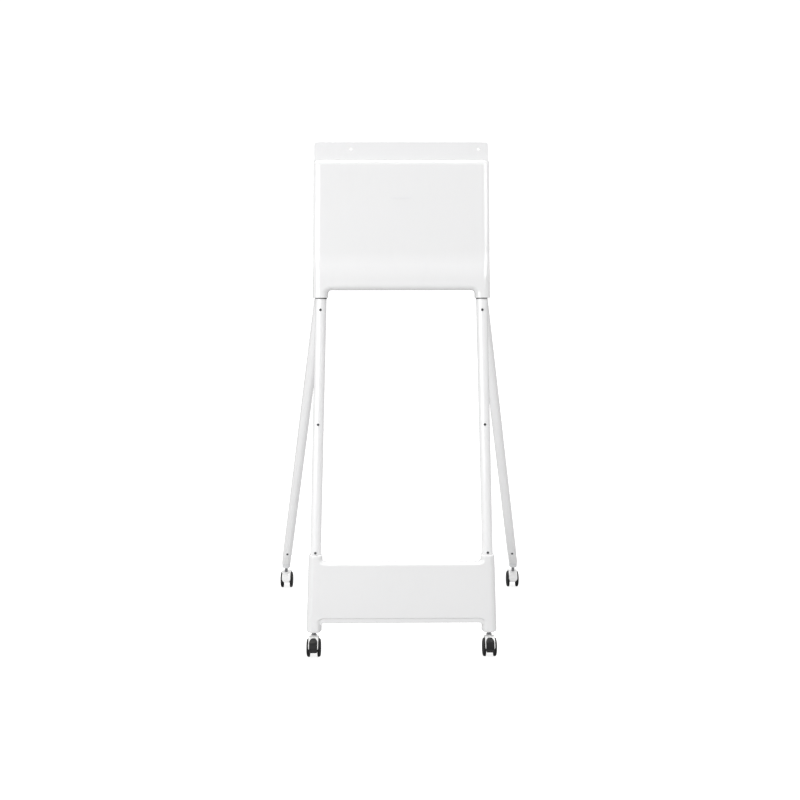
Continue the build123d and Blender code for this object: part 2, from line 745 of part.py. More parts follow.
def make_caster(name, stem_x, stem_y, facing, stem_high, collar_high, braked):
    """One twin-wheel caster: stem, hood, axle, two wheels and, if braked, a pedal with its pin.
    The wheels trail towards facing (-1 front, +1 back)."""
    hub = Vector(stem_x, stem_y + facing * trail, wheel_radius)
    # Side plane through the axle: x in the trailing direction, y up.
    side_plane = Plane(origin=hub, x_dir=(0, facing, 0), z_dir=(facing, 0, 0))
    floor_spot = Plane(origin=(stem_x, stem_y, 0), z_dir=(0, 0, 1))

    with BuildPart() as stem:
        with BuildSketch(floor_spot.offset(38)):
            Circle(stem_radius)
        extrude(amount=stem_high - 38)
        with BuildSketch(floor_spot.offset(hood_top + 0.5)):
            Circle(collar_radius if braked else stem_radius + 0.6)
        extrude(amount=collar_high - hood_top - 0.5)
        chamfer(stem.faces().sort_by(Axis.Z)[-1].edges(), length=1)
    save(stem, name + "_caster_stem")

    with BuildPart() as hood:
        # Canopy over the inner halves of the wheels, its two ends rounded tongues.
        with BuildSketch(side_plane):
            Circle(canopy_outer)
            Circle(canopy_inner, mode=Mode.SUBTRACT)
            with Locations((0, canopy_low - wheel_radius - 50)):
                Rectangle(100, 100, mode=Mode.SUBTRACT)
        extrude(amount=canopy_half, both=True)
        add(front_outline(hub, canopy_half, canopy_low, 120, canopy_half - 0.1, 1), mode=Mode.INTERSECT)
        if braked:
            add(pedal_pocket(hub, facing), mode=Mode.SUBTRACT)
        # Web between the wheels.
        with BuildSketch(side_plane):
            Circle(canopy_inner + 0.5)
            with Locations((0, web_low - 50)):
                Rectangle(100, 100, mode=Mode.SUBTRACT)
            if braked:
                with Locations((web_back_edge + 50, 0)):
                    Rectangle(100, 100, mode=Mode.SUBTRACT)
            Circle(web_radius)
        extrude(amount=hood_half, both=True)
        with BuildSketch(floor_spot.offset(30)):
            Circle(boss_radius)
        extrude(amount=hood_top - 30)
        add(rod(floor_spot.offset(37), stem_radius + running_gap, 60), mode=Mode.SUBTRACT)
        axle_start = Plane(origin=hub - Vector(60, 0, 0), z_dir=(1, 0, 0))
        add(rod(axle_start, axle_radius, 120), mode=Mode.SUBTRACT)
        if braked:
            # Slot for the pedal's arm, and the hole of its pin.
            with BuildSketch(side_plane):
                Circle(canopy_inner)
                with Locations((14, 26)):
                    Rectangle(34, 24, mode=Mode.INTERSECT)
            extrude(amount=5.5, both=True, mode=Mode.SUBTRACT)
            pin_start = side_plane.from_local_coords(Vector(*pedal_pin_spot, 0))
            add(
                rod(Plane(origin=pin_start - Vector(30, 0, 0), z_dir=(1, 0, 0)), pedal_pin_radius, 60),
                mode=Mode.SUBTRACT,
            )
    save(hood, name + "_caster_hood")

    axle_half = wheel_outer - 2.7
    with BuildPart() as axle:
        with BuildSketch(Plane(origin=hub - Vector(axle_half, 0, 0), z_dir=(1, 0, 0))):
            Circle(axle_radius)
        extrude(amount=2 * axle_half)
        chamfer(axle.faces().filter_by(Axis.X).edges(), length=0.5)
    save(axle, name + "_caster_axle")

    for wheel_name, side in sides.items():
        # Section of the wheel: x outward from the middle of the caster, y the radius.
        section = Plane(origin=hub, x_dir=(side, 0, 0), z_dir=(0, -side, 0))
        bore = axle_radius + running_gap
        with BuildPart() as wheel:
            with BuildSketch(section):
                with BuildLine():
                    Polyline(
                        (wheel_outer - 0.8, 0),
                        (wheel_outer - 2.4, 0),
                        (wheel_outer - 2.4, bore),
                        (wheel_inner, bore),
                        (wheel_inner, 8.5),
                        (wheel_inner + 3, 10),
                        (wheel_inner + 3, 23),
                        (wheel_inner, 24.5),
                        (wheel_inner, wheel_radius - 1.2),
                        (wheel_inner + 1.2, wheel_radius),
                        (wheel_tread, wheel_radius),
                    )
                    ThreePointArc(
                        (wheel_tread, wheel_radius),
                        (wheel_outer - 1.5, wheel_radius - 2.6),
                        (wheel_outer, wheel_radius - 8.4),
                    )
                    Polyline(
                        (wheel_outer, wheel_radius - 8.4),
                        (wheel_outer - 0.3, 20.6),
                        (wheel_outer - 1.9, 19),
                        (wheel_outer - 1.9, 9),
                        (wheel_outer - 0.8, 7.5),
                        (wheel_outer - 0.8, 0),
                    )
                make_face()
            revolve(axis=Axis(hub, (1, 0, 0)), revolution_arc=360)
        save(wheel, name + "_wheel_" + wheel_name)

    if braked:
        with BuildPart() as pedal:
            with BuildSketch(side_plane):
                Circle(pedal_outer)
                Circle(pedal_inner, mode=Mode.SUBTRACT)
                with Locations((-50 + 7, 0)):
                    Rectangle(100, 100, mode=Mode.SUBTRACT)
                with Locations((0, -50 + 3)):
                    Rectangle(100, 100, mode=Mode.SUBTRACT)
            extrude(amount=pedal_half, both=True)
            # Toe lip at the lower end.
            with BuildSketch(side_plane):
                with BuildLine():
                    Polyline(
                        (34.7, 5), (37.1, 5), (41.2, -0.8), (40.2, -3.2), (38.4, -3.4), (34.7, 2.5), close=True
                    )
                make_face()
            extrude(amount=pedal_half, both=True)
            outline = front_outline(hub, pedal_half, pedal_low, pedal_top, 5.5, pedal_top_round)
            add(outline, mode=Mode.INTERSECT)
            # Arm down to the pin.
            with BuildSketch(side_plane):
                with BuildLine():
                    Polyline(
                        (4.6, 22), (11.4, 22), (23.2, 26.6), (21.5, 30.2), (17.5, 31.6), (8.0, 27.0), close=True
                    )
                make_face()
                with Locations(pedal_pin_spot):
                    Circle(3.4)
                with Locations(pedal_pin_spot):
                    Circle(pedal_pin_radius + running_gap, mode=Mode.SUBTRACT)
            extrude(amount=4.6, both=True)
        save(pedal, name + "_brake_pedal")

        pin_center = side_plane.from_local_coords(Vector(*pedal_pin_spot, 0))
        with BuildPart() as pedal_pin:
            with BuildSketch(Plane(origin=pin_center - Vector(hood_half, 0, 0), z_dir=(1, 0, 0))):
                Circle(pedal_pin_radius)
            extrude(amount=2 * hood_half)
        save(pedal_pin, name + "_pedal_pin")


front_stem_x = leg_x(column_foot)
for name, side in sides.items():
    make_caster("front_" + name, side * front_stem_x, front_stem_y, -1, 122, column_foot - 0.2, True)
    make_caster("rear_" + name, side * rear_stem_x, rear_stem_y, 1, 118, foot_ring_low, False)
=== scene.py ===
import json
import math

import bmesh
import bpy
import numpy as np
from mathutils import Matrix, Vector

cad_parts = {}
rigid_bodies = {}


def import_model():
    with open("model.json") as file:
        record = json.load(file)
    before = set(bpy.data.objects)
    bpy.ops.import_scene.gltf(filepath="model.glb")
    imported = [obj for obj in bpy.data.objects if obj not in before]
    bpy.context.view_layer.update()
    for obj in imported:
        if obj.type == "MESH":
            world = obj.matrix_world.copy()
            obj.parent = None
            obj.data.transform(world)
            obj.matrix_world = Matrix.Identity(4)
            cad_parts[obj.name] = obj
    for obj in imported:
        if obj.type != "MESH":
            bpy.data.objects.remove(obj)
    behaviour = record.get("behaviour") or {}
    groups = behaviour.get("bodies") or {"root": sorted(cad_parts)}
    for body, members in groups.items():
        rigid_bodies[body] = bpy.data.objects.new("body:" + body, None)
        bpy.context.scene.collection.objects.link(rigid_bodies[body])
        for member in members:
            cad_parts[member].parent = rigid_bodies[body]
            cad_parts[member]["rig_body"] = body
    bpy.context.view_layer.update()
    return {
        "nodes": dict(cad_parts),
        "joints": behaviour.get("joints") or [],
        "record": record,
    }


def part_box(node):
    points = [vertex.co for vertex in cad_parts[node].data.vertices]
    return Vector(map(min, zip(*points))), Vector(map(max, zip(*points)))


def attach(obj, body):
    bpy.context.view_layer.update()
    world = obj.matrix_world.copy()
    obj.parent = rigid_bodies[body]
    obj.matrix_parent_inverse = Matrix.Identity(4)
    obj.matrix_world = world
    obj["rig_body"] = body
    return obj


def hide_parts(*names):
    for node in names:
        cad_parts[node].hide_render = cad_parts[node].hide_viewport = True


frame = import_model()
nodes = frame["nodes"]
joints = {joint["name"]: joint for joint in frame["joints"]}

# The stance, as the frame has it.
stance = {
    "lean": math.radians(5.0),        # the front frame leans back
    "columnFoot": 0.080,              # underside of the beam's columns
    "legSpread": 0.289,               # leg axes at floor level
    "legTaper": 0.0285,               # closing per metre up the lean
    "frontStemY": joints["front_left_swivel"]["pos_m"][1],
    "rearStemX": joints["rear_right_swivel"]["pos_m"][0],
    "rearStemY": joints["rear_left_swivel"]["pos_m"][1],
}
leanSin = math.sin(stance["lean"])
leanCos = math.cos(stance["lean"])
leanY = stance["frontStemY"] - stance["columnFoot"] * math.tan(stance["lean"])


def leanPoints(across, up, out):
    # A point of the leaning frame: up the lean by "up", out of its face by "out".
    y = leanY + up * leanSin - out * leanCos
    z = up * leanCos + out * leanSin
    return np.stack(np.broadcast_arrays(across, y, z), axis=-1)


def legAxis(up):
    # How far across a front leg's axis is, at a length up the lean.
    return stance["legSpread"] - stance["legTaper"] * up


camera = {
    "place": (-0.040, -3.7595, 1.467),
    "tiltDown": 10.2,
    "turnRight": 0.576,
    "lens": 50.0,
    "sensor": 36.0,
    "reach": (0.05, 60.0),
}


def makeCamera():
    data = bpy.data.cameras.new("studioCamera")
    data.lens = camera["lens"]
    data.sensor_width = camera["sensor"]
    data.clip_start, data.clip_end = camera["reach"]
    holder = bpy.data.objects.new("studioCamera", data)
    holder.location = camera["place"]
    holder.rotation_euler = (
        math.radians(90.0 - camera["tiltDown"]),
        0.0,
        math.radians(-camera["turnRight"]),
    )
    bpy.context.scene.collection.objects.link(holder)
    bpy.context.scene.camera = holder


makeCamera()
print("camera in place")


meshRules = {
    "gridMerge": 2e-6, "gridThin": 1e-7,            # metres, on surfaces made here
    "nodeMerge": 8e-6, "nodeThin": 2e-6,            # metres, on copies of frame nodes
    "flatAngle": 0.6, "sharpAngle": 32.0,           # degrees, on copies of frame nodes
    "bevelSegments": 3, "flatWeight": 60,
}


def gridFaces(rowCount, columnCount, wrap):
    # Quads between neighbouring rows and columns; wrap joins the last column to the first.
    index = np.arange(rowCount * columnCount).reshape(rowCount, columnCount)
    if wrap:
        index = np.concatenate([index, index[:, :1]], axis=1)
    quads = [index[:-1, :-1], index[:-1, 1:], index[1:, 1:], index[1:, :-1]]
    return np.stack(quads, axis=-1).reshape(-1, 4)


def meshFromGrids(name, grids, sharpAngle):
    # Several grids of points become one mesh; shared borders and poles are merged.
    points, faces, start = [], [], 0
    for grid, wrap in grids:
        points.append(grid.reshape(-1, 3))
        faces.append(gridFaces(grid.shape[0], grid.shape[1], wrap) + start)
        start += grid.shape[0] * grid.shape[1]
    mesh = bpy.data.meshes.new(name)
    mesh.from_pydata(np.concatenate(points).tolist(), [], np.concatenate(faces).tolist())
    work = bmesh.new()
    work.from_mesh(mesh)
    bmesh.ops.remove_doubles(work, verts=work.verts, dist=meshRules["gridMerge"])
    bmesh.ops.dissolve_degenerate(work, edges=work.edges, dist=meshRules["gridThin"])
    bmesh.ops.recalc_face_normals(work, faces=work.faces)
    work.to_mesh(mesh)
    work.free()
    mesh.shade_smooth()
    mesh.set_sharp_from_angle(angle=math.radians(sharpAngle))
    return mesh


def weightNormals(piece):
    # Flat areas keep their own normal, so that roundings meet them without a smear.
    normals = piece.modifiers.new("weightedNormals", "WEIGHTED_NORMAL")
    normals.keep_sharp = True
    normals.weight = meshRules["flatWeight"]


def placePiece(mesh, name, material, body, replaced):
    # Puts a finished mesh on its body; "replaced" is the frame node it stands for, if any.
    piece = bpy.data.objects.new(name, mesh)
    bpy.context.scene.collection.objects.link(piece)
    mesh.materials.clear()
    mesh.materials.append(material)
    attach(piece, body)
    if replaced:
        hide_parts(replaced)
    return piece


def refineNode(nodeName, name, material, bevelWidth):
    # A merged copy of a frame node with its edges softly broken.
    sharpAngle = math.radians(meshRules["sharpAngle"])
    mesh = nodes[nodeName].data.copy()
    mesh.name = name
    work = bmesh.new()
    work.from_mesh(mesh)
    bmesh.ops.remove_doubles(work, verts=work.verts, dist=meshRules["nodeMerge"])
    bmesh.ops.dissolve_degenerate(work, edges=work.edges, dist=meshRules["nodeThin"])
    bmesh.ops.dissolve_limit(
        work, angle_limit=math.radians(meshRules["flatAngle"]), verts=work.verts, edges=work.edges
    )
    work.to_mesh(mesh)
    work.free()
    mesh.shade_smooth()
    mesh.set_sharp_from_angle(angle=sharpAngle)
    piece = placePiece(mesh, name, material, nodes[nodeName]["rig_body"], nodeName)
    bevel = piece.modifiers.new("brokenEdges", "BEVEL")
    bevel.width = bevelWidth
    bevel.segments = meshRules["bevelSegments"]
    bevel.limit_method = "ANGLE"
    bevel.angle_limit = sharpAngle
    bevel.use_clamp_overlap = True
    weightNormals(piece)
    return piece


def roundCorners(corners, steps=6):
    # A profile through corner points, each given as (x, y, radius), with an arc at each radius.
    corners = np.array(corners, float)
    pieces = [corners[:1, :2]]
    for before, here, after in zip(corners[:-2], corners[1:-1], corners[2:]):
        back = before[:2] - here[:2]
        on = after[:2] - here[:2]
        backLength = np.linalg.norm(back)
        onLength = np.linalg.norm(on)
        if here[2] <= 0 or backLength == 0 or onLength == 0:
            pieces.append(here[None, :2])
            continue
        back = back / backLength
        on = on / onLength
        half = np.arccos(np.clip(np.dot(back, on), -1, 1)) / 2
        reach = min(here[2] / np.tan(half), backLength * 0.49, onLength * 0.49)
        radius = reach * np.tan(half)
        middle = (back + on) / np.linalg.norm(back + on)
        centre = here[:2] + middle * radius / np.sin(half)
        first = here[:2] + back * reach - centre
        last = here[:2] + on * reach - centre
        share = np.linspace(0, 1, steps + 1)[:, None]
        angle = np.arccos(np.clip(np.dot(first, last) / radius**2, -1, 1))
        arc = (np.sin((1 - share) * angle) * first + np.sin(share * angle) * last) / np.sin(angle)
        pieces.append(centre + arc)
    pieces.append(corners[-1:, :2])
    return np.concatenate(pieces)


def lathe(start, direction, profile, segments):
    # Surface of revolution: profile rows are (distance along the axis, radius from it).
    axis = np.array(direction, float)
    axis = axis / np.linalg.norm(axis)
    helper = np.array([1.0, 0, 0]) if abs(axis[0]) < 0.9 else np.array([0, 0, 1.0])
    first = np.cross(axis, helper)
    first = first / np.linalg.norm(first)
    second = np.cross(axis, first)
    angle = np.linspace(0, 2 * np.pi, segments, endpoint=False)
    ring = np.cos(angle)[:, None] * first + np.sin(angle)[:, None] * second
    along = profile[:, 0][:, None, None] * axis
    return np.array(start, float) + along + profile[:, 1][:, None, None] * ring[None]


def legPoint(side, up):
    return leanPoints(side * legAxis(up), up, 0.0)


def newGroup(name, inputs, outputs):
    group = bpy.data.node_groups.new(name, "ShaderNodeTree")
    for label, kind, value in inputs:
        socket = group.interface.new_socket(name=label, in_out="INPUT", socket_type=kind)
        socket.default_value = value
    for label, kind in outputs:
        group.interface.new_socket(name=label, in_out="OUTPUT", socket_type=kind)
    entry = group.nodes.new("NodeGroupInput")
    leave = group.nodes.new("NodeGroupOutput")
    return group, entry, leave


def addNode(tree, kind, **settings):
    node = tree.nodes.new(kind)
    for key, value in settings.items():
        if key in node.inputs:
            node.inputs[key].default_value = value
        else:
            setattr(node, key, value)
    return node


def mathNode(tree, operation, first, second=None, clamp=False):
    node = tree.nodes.new("ShaderNodeMath")
    node.operation = operation
    node.use_clamp = clamp
    for index, value in enumerate((first, second)):
        if value is None:
            continue
        if hasattr(value, "links"):
            tree.links.new(value, node.inputs[index])
        else:
            node.inputs[index].default_value = value
    return node.outputs[0]


def rampNode(tree, factor, low, high):
    node = tree.nodes.new("ShaderNodeMapRange")
    node.interpolation_type = "SMOOTHSTEP"
    node.inputs["From Min"].default_value = low
    node.inputs["From Max"].default_value = high
    tree.links.new(factor, node.inputs["Value"])
    return node.outputs["Result"]


def makeGrainGroup():
    # Fine moulded or sprayed grain: two noises of different size, added.
    group, entry, leave = newGroup(
        "surfaceGrain",
        [("Size", "NodeSocketFloat", 900.0), ("Coarse", "NodeSocketFloat", 0.35)],
        [("Height", "NodeSocketFloat")],
    )
    place = group.nodes.new("ShaderNodeTexCoord")
    fine = addNode(group, "ShaderNodeTexNoise", Detail=3.0, Roughness=0.55)
    coarse = addNode(group, "ShaderNodeTexNoise", Detail=2.0, Roughness=0.5)
    for noise in (fine, coarse):
        group.links.new(place.outputs["Object"], noise.inputs["Vector"])
    group.links.new(entry.outputs["Size"], fine.inputs["Scale"])
    coarseSize = mathNode(group, "MULTIPLY", entry.outputs["Size"], 0.22)
    group.links.new(coarseSize, coarse.inputs["Scale"])
    share = mathNode(group, "MULTIPLY", coarse.outputs["Fac"], entry.outputs["Coarse"])
    total = mathNode(group, "ADD", fine.outputs["Fac"], share)
    group.links.new(total, leave.inputs["Height"])
    return group


def makeSmudgeGroup():
    # Patches of handling: broad clouds broken up by stretched, finer streaks.
    group, entry, leave = newGroup(
        "handlingMarks",
        [("Size", "NodeSocketFloat", 6.0), ("Streaks", "NodeSocketFloat", 60.0)],
        [("Mask", "NodeSocketFloat")],
    )
    place = group.nodes.new("ShaderNodeTexCoord")
    stretch = addNode(group, "ShaderNodeMapping")
    stretch.inputs["Scale"].default_value = (1.0, 1.0, 0.25)
    group.links.new(place.outputs["Object"], stretch.inputs["Vector"])
    clouds = addNode(group, "ShaderNodeTexNoise", Detail=4.0, Roughness=0.6, Distortion=0.4)
    streaks = addNode(group, "ShaderNodeTexNoise", Detail=5.0, Roughness=0.65)
    group.links.new(place.outputs["Object"], clouds.inputs["Vector"])
    group.links.new(stretch.outputs["Vector"], streaks.inputs["Vector"])
    group.links.new(entry.outputs["Size"], clouds.inputs["Scale"])
    group.links.new(entry.outputs["Streaks"], streaks.inputs["Scale"])
    cloudMask = rampNode(group, clouds.outputs["Fac"], 0.42, 0.68)
    streakMask = rampNode(group, streaks.outputs["Fac"], 0.35, 0.75)
    group.links.new(mathNode(group, "MULTIPLY", cloudMask, streakMask), leave.inputs["Mask"])
    return group


def makeDustGroup():
    # Dust settles where the surface faces up, unevenly.
    group, entry, leave = newGroup(
        "settledDust",
        [("Amount", "NodeSocketFloat", 0.3), ("Size", "NodeSocketFloat", 40.0)],
        [("Mask", "NodeSocketFloat")],
    )
    place = group.nodes.new("ShaderNodeTexCoord")
    facing = group.nodes.new("ShaderNodeNewGeometry")
    split = group.nodes.new("ShaderNodeSeparateXYZ")
    group.links.new(facing.outputs["Normal"], split.inputs["Vector"])
    upward = rampNode(group, split.outputs["Z"], 0.15, 0.95)
    noise = addNode(group, "ShaderNodeTexNoise", Detail=6.0, Roughness=0.7)
    group.links.new(place.outputs["Object"], noise.inputs["Vector"])
    group.links.new(entry.outputs["Size"], noise.inputs["Scale"])
    patches = rampNode(group, noise.outputs["Fac"], 0.35, 0.7)
    mask = mathNode(group, "MULTIPLY", upward, patches)
    group.links.new(mathNode(group, "MULTIPLY", mask, entry.outputs["Amount"]), leave.inputs["Mask"])
    return group


def makeWearGroup():
    # Convex edges, found from the mesh's pointiness and broken by noise.
    group, entry, leave = newGroup(
        "edgeWear",
        [("Amount", "NodeSocketFloat", 0.5), ("Size", "NodeSocketFloat", 120.0)],
        [("Mask", "NodeSocketFloat")],
    )
    place = group.nodes.new("ShaderNodeTexCoord")
    shape = group.nodes.new("ShaderNodeNewGeometry")
    edge = rampNode(group, shape.outputs["Pointiness"], 0.52, 0.62)
    noise = addNode(group, "ShaderNodeTexNoise", Detail=5.0, Roughness=0.7)
    group.links.new(place.outputs["Object"], noise.inputs["Vector"])
    group.links.new(entry.outputs["Size"], noise.inputs["Scale"])
    broken = rampNode(group, noise.outputs["Fac"], 0.38, 0.62)
    mask = mathNode(group, "MULTIPLY", edge, broken)
    group.links.new(
        mathNode(group, "MULTIPLY", mask, entry.outputs["Amount"], clamp=True), leave.inputs["Mask"]
    )
    return group


groups = {
    "grain": makeGrainGroup(),
    "smudge": makeSmudgeGroup(),
    "dust": makeDustGroup(),
    "wear": makeWearGroup(),
}
print("shader groups made")

# Each finish: its colour, its worn and dusty colours, roughness and how much the marks add to it,
# grain size (per metre) and depth (metres), and the constant shader values.
finishes = {
    "whiteGlossShell": {
        "colour": (0.795, 0.795, 0.798), "worn": (0.74, 0.74, 0.74), "dusty": (0.75, 0.745, 0.73),
        "rough": 0.22, "marks": 0.02, "metallic": 0.0, "coat": 1.0, "coatRough": 0.05,
        "grainSize": 420.0, "grainDepth": 0.000012, "coarse": 1.2, "wear": 0.25, "dust": 0.12,
        "mottle": 0.012, "specular": 0.5,
    },
    "whiteTubePaint": {
        "colour": (0.855, 0.855, 0.858), "worn": (0.76, 0.76, 0.76), "dusty": (0.76, 0.755, 0.74),
        "rough": 0.24, "marks": 0.03, "metallic": 0.0, "coat": 1.0, "coatRough": 0.06,
        "grainSize": 900.0, "grainDepth": 0.000016, "coarse": 0.8, "wear": 0.2, "dust": 0.10,
        "mottle": 0.015, "specular": 0.6,
    },
    "whitePlatePaint": {
        "colour": (0.765, 0.765, 0.77), "worn": (0.68, 0.68, 0.69), "dusty": (0.75, 0.745, 0.73),
        "rough": 0.38, "marks": 0.05, "metallic": 0.0, "coat": 0.0, "coatRough": 0.2,
        "grainSize": 1500.0, "grainDepth": 0.00003, "coarse": 0.5, "wear": 0.35, "dust": 0.12,
        "mottle": 0.015, "specular": 0.5,
    },
    "badgeGrey": {
        "colour": (0.715, 0.715, 0.725), "worn": (0.66, 0.66, 0.66), "dusty": (0.70, 0.70, 0.69),
        "rough": 0.35, "marks": 0.08, "metallic": 0.0, "coat": 0.0, "coatRough": 0.2,
        "grainSize": 1800.0, "grainDepth": 0.00001, "coarse": 0.4, "wear": 0.2, "dust": 0.08,
        "mottle": 0.01, "specular": 0.5,
    },
    "ringGrey": {
        "colour": (0.68, 0.685, 0.695), "worn": (0.56, 0.56, 0.57), "dusty": (0.60, 0.59, 0.57),
        "rough": 0.33, "marks": 0.12, "metallic": 0.0, "coat": 0.2, "coatRough": 0.15,
        "grainSize": 1200.0, "grainDepth": 0.00002, "coarse": 0.6, "wear": 0.4, "dust": 0.15,
        "mottle": 0.02, "specular": 0.5,
    },
    "whiteNylon": {
        "colour": (0.79, 0.79, 0.79), "worn": (0.66, 0.66, 0.65), "dusty": (0.68, 0.67, 0.64),
        "rough": 0.34, "marks": 0.14, "metallic": 0.0, "coat": 0.0, "coatRough": 0.2,
        "grainSize": 1600.0, "grainDepth": 0.00002, "coarse": 0.6, "wear": 0.35, "dust": 0.25,
        "mottle": 0.02, "specular": 0.5,
    },
    "wheelBlack": {
        "colour": (0.008, 0.008, 0.009), "worn": (0.05, 0.048, 0.046), "dusty": (0.07, 0.068, 0.063),
        "rough": 0.36, "marks": 0.18, "metallic": 0.0, "coat": 0.0, "coatRough": 0.3,
        "grainSize": 1400.0, "grainDepth": 0.00004, "coarse": 0.9, "wear": 0.7, "dust": 0.25,
        "mottle": 0.10, "specular": 0.25,
    },
    "pedalBlack": {
        "colour": (0.009, 0.009, 0.010), "worn": (0.06, 0.058, 0.055), "dusty": (0.07, 0.068, 0.063),
        "rough": 0.38, "marks": 0.18, "metallic": 0.0, "coat": 0.0, "coatRough": 0.3,
        "grainSize": 2600.0, "grainDepth": 0.00005, "coarse": 0.4, "wear": 0.8, "dust": 0.22,
        "mottle": 0.08, "specular": 0.28,
    },
    "paleNylon": {
        "colour": (0.66, 0.66, 0.66), "worn": (0.58, 0.58, 0.57), "dusty": (0.60, 0.59, 0.57),
        "rough": 0.42, "marks": 0.12, "metallic": 0.0, "coat": 0.0, "coatRough": 0.2,
        "grainSize": 1600.0, "grainDepth": 0.00002, "coarse": 0.6, "wear": 0.3, "dust": 0.2,
        "mottle": 0.02, "specular": 0.5,
    },
    "brightSteel": {
        "colour": (0.27, 0.272, 0.28), "worn": (0.52, 0.52, 0.53), "dusty": (0.36, 0.35, 0.33),
        "rough": 0.28, "marks": 0.16, "metallic": 1.0, "coat": 0.0, "coatRough": 0.2,
        "grainSize": 2200.0, "grainDepth": 0.00001, "coarse": 0.3, "wear": 0.4, "dust": 0.15,
        "mottle": 0.05, "specular": 0.5,
    },
    "darkScrew": {
        "colour": (0.10, 0.10, 0.105), "worn": (0.32, 0.32, 0.33), "dusty": (0.16, 0.155, 0.15),
        "rough": 0.36, "marks": 0.16, "metallic": 1.0, "coat": 0.0, "coatRough": 0.2,
        "grainSize": 2600.0, "grainDepth": 0.00001, "coarse": 0.4, "wear": 0.6, "dust": 0.1,
        "mottle": 0.08, "specular": 0.5,
    },
    # Near black for the rings under the head's sockets: painted shade of the gap round each front
    # leg.
    "gapShadeDark": {
        "colour": (0.07, 0.07, 0.072), "worn": (0.12, 0.12, 0.12), "dusty": (0.16, 0.155, 0.15),
        "rough": 0.6, "marks": 0.1, "metallic": 0.0, "coat": 0.0, "coatRough": 0.2,
        "grainSize": 1800.0, "grainDepth": 0.00002, "coarse": 0.5, "wear": 0.2, "dust": 0.15,
        "mottle": 0.06, "specular": 0.4,
    },
}


def mixColour(tree, factor, first, second):
    node = tree.nodes.new("ShaderNodeMix")
    node.data_type = "RGBA"
    node.blend_type = "MIX"
    tree.links.new(factor, node.inputs["Factor"])
    for socket, value in ((node.inputs[6], first), (node.inputs[7], second)):
        if hasattr(value, "links"):
            tree.links.new(value, socket)
        else:
            socket.default_value = (*value, 1.0)
    return node.outputs[2]


def makeFinish(name):
    # Colour = base mottled by marks, then worn at edges, then dusted on top.
    # Roughness = base + marks + dust. Bump = grain.
    look = finishes[name]
    material = bpy.data.materials.new(name)
    material.use_nodes = True
    tree = material.node_tree
    shader = tree.nodes["Principled BSDF"]
    shader.inputs["Metallic"].default_value = look["metallic"]
    shader.inputs["Coat Weight"].default_value = look["coat"]
    shader.inputs["Coat Roughness"].default_value = look["coatRough"]
    shader.inputs["Specular IOR Level"].default_value = look["specular"]
    marks = addNode(tree, "ShaderNodeGroup", node_tree=groups["smudge"])
    wear = addNode(tree, "ShaderNodeGroup", node_tree=groups["wear"], Amount=look["wear"])
    dust = addNode(tree, "ShaderNodeGroup", node_tree=groups["dust"], Amount=look["dust"])
    grain = addNode(tree, "ShaderNodeGroup", node_tree=groups["grain"])
    grain.inputs["Size"].default_value = look["grainSize"]
    grain.inputs["Coarse"].default_value = look["coarse"]
    darker = tuple(value * (1.0 - look["mottle"]) for value in look["colour"])
    colour = mixColour(tree, marks.outputs["Mask"], look["colour"], darker)
    colour = mixColour(tree, wear.outputs["Mask"], colour, look["worn"])
    colour = mixColour(tree, dust.outputs["Mask"], colour, look["dusty"])
    tree.links.new(colour, shader.inputs["Base Color"])
    rough = mathNode(tree, "MULTIPLY", marks.outputs["Mask"], look["marks"])
    rough = mathNode(tree, "ADD", rough, look["rough"])
    dustRough = mathNode(tree, "MULTIPLY", dust.outputs["Mask"], 0.35)
    rough = mathNode(tree, "ADD", rough, dustRough, clamp=True)
    tree.links.new(rough, shader.inputs["Roughness"])
    bump = addNode(tree, "ShaderNodeBump", Strength=1.0, Distance=look["grainDepth"])
    tree.links.new(grain.outputs["Height"], bump.inputs["Height"])
    tree.links.new(bump.outputs["Normal"], shader.inputs["Normal"])
    return material


materials = {name: makeFinish(name) for name in finishes}
print("finishes made:", len(materials))

# A shell half is a face with rounded rims: a wide plate between two side columns, which may run on
# past the plate as stubs. All lengths are along the leaning face: across, up, and out of it.
headFront = {
    "low": 1.189, "high": 1.597, "footLow": 1.165, "footHigh": None,
    "outerLow": 0.2816, "outerHigh": 0.2760, "outerSpan": (1.165, 1.597),
    "innerLow": 0.2330, "innerHigh": None,
    "rimSide": 0.0230, "rimHigh": 0.0180, "rimLow": 0.0150, "rimInner": 0.0190, "arch": 0.0110,
    "split": 0.0066, "face": 0.0220, "bandFace": 0.0318, "bandStart": 1.312, "bandFull": 1.222,
    "legHole": 0.0179, "endRound": 0.0008, "levelFoot": False, "wall": 0.0026,
}
headBack = dict(
    headFront, rimSide=0.0200, rimHigh=0.0070, rimLow=0.0090, rimInner=0.0120,
    split=0.0062, face=-0.0240, bandFace=-0.0240,
)
beamFront = {
    "low": 0.124, "high": 0.3103, "footLow": 0.0803, "footHigh": 0.3354,
    "outerLow": 0.3113, "outerHigh": 0.3022, "outerSpan": (0.0803, 0.3354),
    "innerLow": 0.2615, "innerHigh": 0.2570,
    "rimSide": 0.0215, "rimHigh": 0.0085, "rimLow": 0.0045, "rimInner": 0.0165, "arch": 0.0100,
    "split": 0.0002, "face": 0.0230, "bandFace": 0.0230, "bandStart": 0.24, "bandFull": 0.20,
    "legHole": 0.0179, "endRound": 0.0050, "levelFoot": True, "wall": 0.0023,
}
beamBack = dict(
    beamFront, rimLow=0.0070, rimInner=0.0120, split=-0.0002, face=-0.0230, bandFace=-0.0230
)
shellMesh = {
    "rowPitch": 0.004, "fewestRows": 12, "stubSteps": 5, "archSteps": 15, "columnSteps": 9,
    "plateSteps": 81, "rimSteps": 13, "cornerSteps": 13, "endSteps": 5,
    "cornerPower": 0.8,                # below 1, the top corners are a little squarer than an arc
    "holeDepth": 0.003,                # how far the wall turns in along the leg
    "sharpAngle": 40.0,
}


